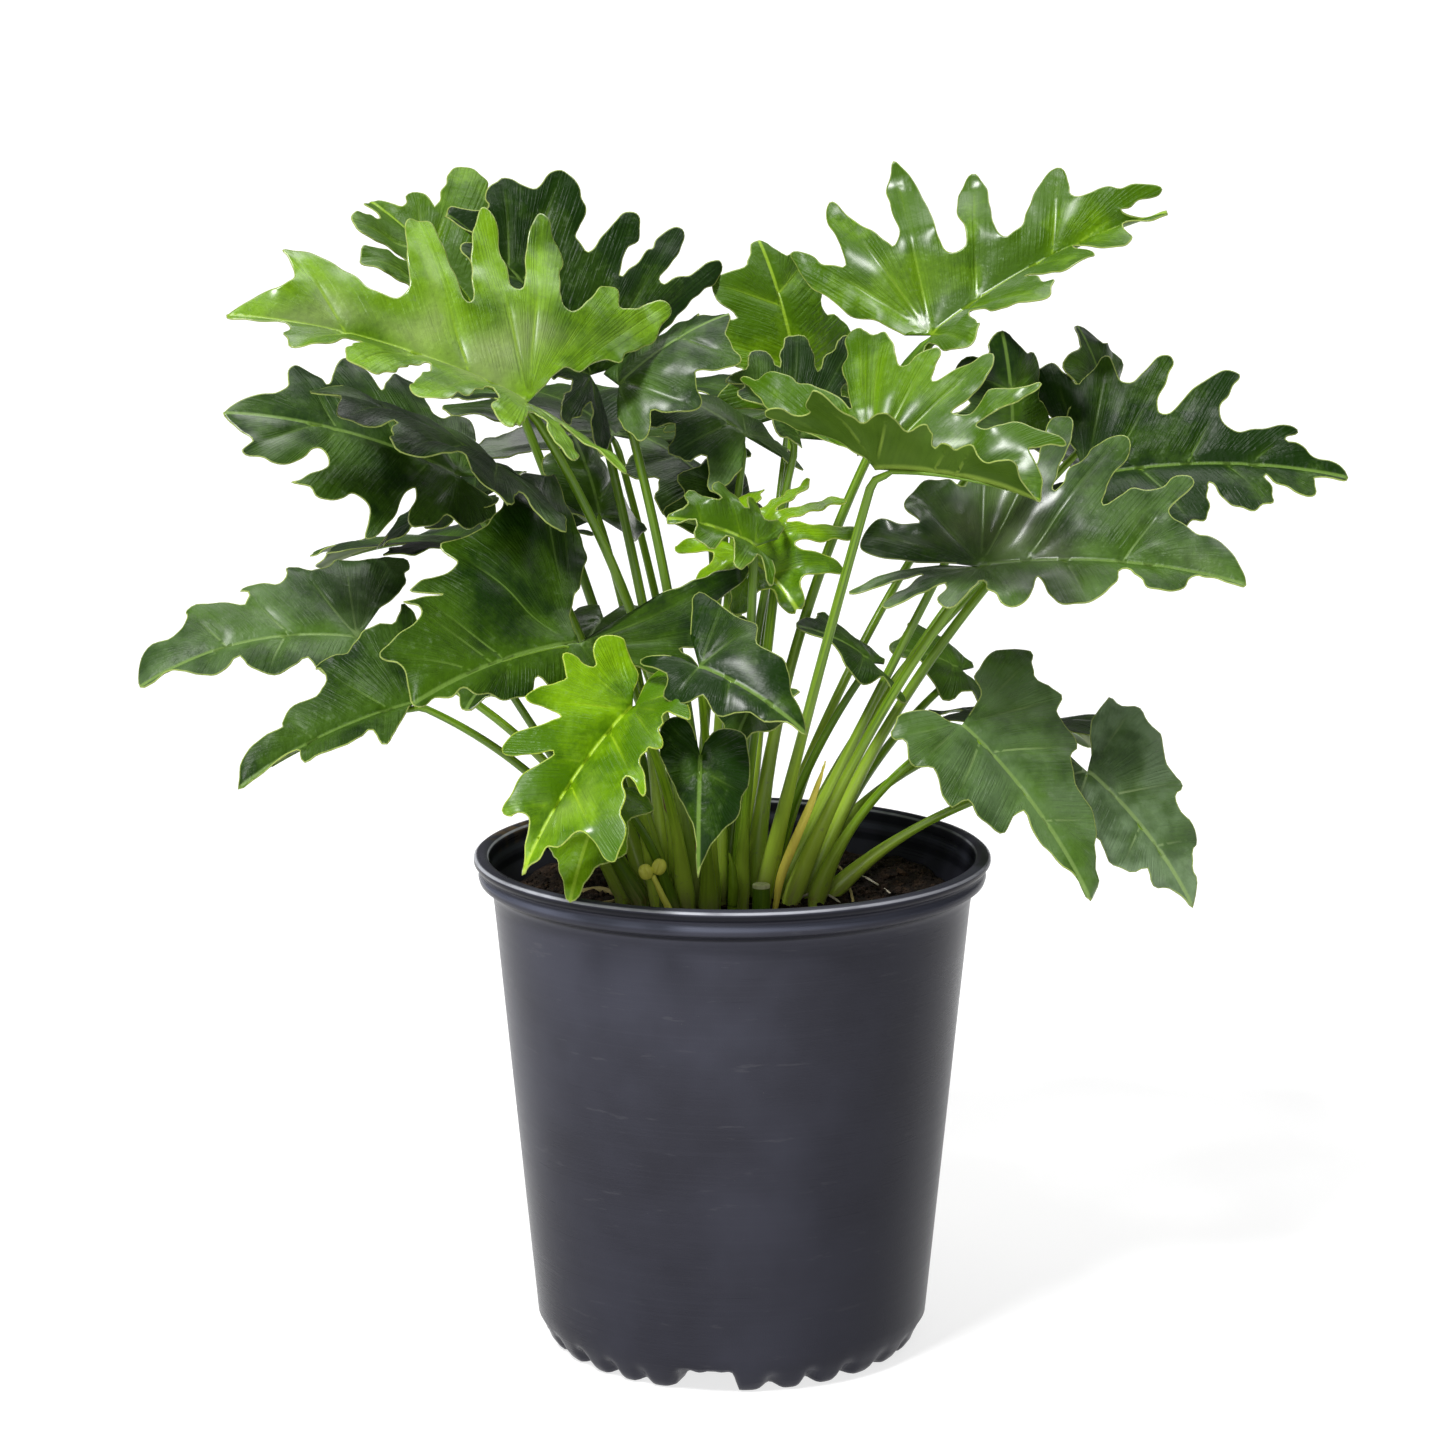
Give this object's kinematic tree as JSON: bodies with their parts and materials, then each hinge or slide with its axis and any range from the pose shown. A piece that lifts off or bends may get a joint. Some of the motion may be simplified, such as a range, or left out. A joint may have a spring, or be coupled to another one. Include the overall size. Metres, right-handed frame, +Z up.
{
  "type": "potted foliage plant",
  "caption": "Bushy lacy tree philodendron with deeply lobed glossy leaves on long stalks, standing in a black round grower's pot filled with dark soil.",
  "frame": {"origin": "centre of the round pad under the pot, on the floor", "axes": "+Z up along the pot's axis, +Y away from the picture's camera, +X to the picture's right"},
  "size_m": [0.5901, 0.4155, 0.5802],
  "materials": {
    "pot_plastic": "satin black",
    "potting_soil": "dark crumbly bark and peat",
    "leaf_dark": "glossy leaf",
    "leaf_bright": "glossy leaf",
    "leaf_lime": "glossy leaf",
    "dry_sheath": "dry and matt"
  },
  "bodies": {
    "root": {"pot": "pot_plastic", "soil": "potting_soil", "leaf_01_upper_left": "leaf_bright", "leaf_02_upper_left_back": "leaf_bright", "leaf_03_upper_middle_back": "leaf_dark", "leaf_04_upper_middle_low": "leaf_dark", "leaf_05_left": "leaf_dark", "leaf_06_left_above": "leaf_dark", "leaf_07_left_behind": "leaf_dark", "leaf_08_far_left": "leaf_dark", "leaf_09_low_left": "leaf_dark", "leaf_10_centre_left": "leaf_dark", "leaf_11_centre_behind": "leaf_dark", "leaf_12_lime_front": "leaf_lime", "leaf_13_small_front": "leaf_dark", "leaf_14_uncut_front": "leaf_dark", "leaf_15_glossy_centre": "leaf_dark", "leaf_16_under_glossy": "leaf_dark", "leaf_17_lime_young": "leaf_lime", "leaf_18_behind_young": "leaf_dark", "leaf_19_upper_right": "leaf_bright", "leaf_20_backlit": "leaf_bright", "leaf_21_right_front": "leaf_bright", "leaf_22_middle_dark": "leaf_dark", "leaf_23_far_right": "leaf_dark", "leaf_24_right_low_front": "leaf_dark", "leaf_25_right_upright": "leaf_dark", "leaf_26_right_under": "leaf_dark", "leaf_27_low_right": "leaf_dark", "leaf_28_far_low_right": "leaf_dark", "leaf_29_small_right": "leaf_dark", "leaf_30_small_olive": "leaf_dark", "leaf_31_middle_grey": "leaf_dark", "leaf_32_middle_behind": "leaf_dark", "leaf_33_right_behind": "leaf_dark", "leaf_34_low_behind": "leaf_dark", "leaf_35_low_left_small": "leaf_dark", "leaf_36_back_left": "leaf_dark", "leaf_37_back_middle": "leaf_dark", "leaf_38_back_right": "leaf_dark", "leaf_39_back_far_left": "leaf_dark", "leaf_40_back_low": "leaf_dark", "leaf_41_back_low_right": "leaf_dark", "leaf_42_young_second": "leaf_lime", "dry_sheath": "dry_sheath", "cut_stub": "leaf_dark", "young_shoot": "leaf_lime", "bud_stalk": "dry_sheath"}
  },
  "joints": []
}
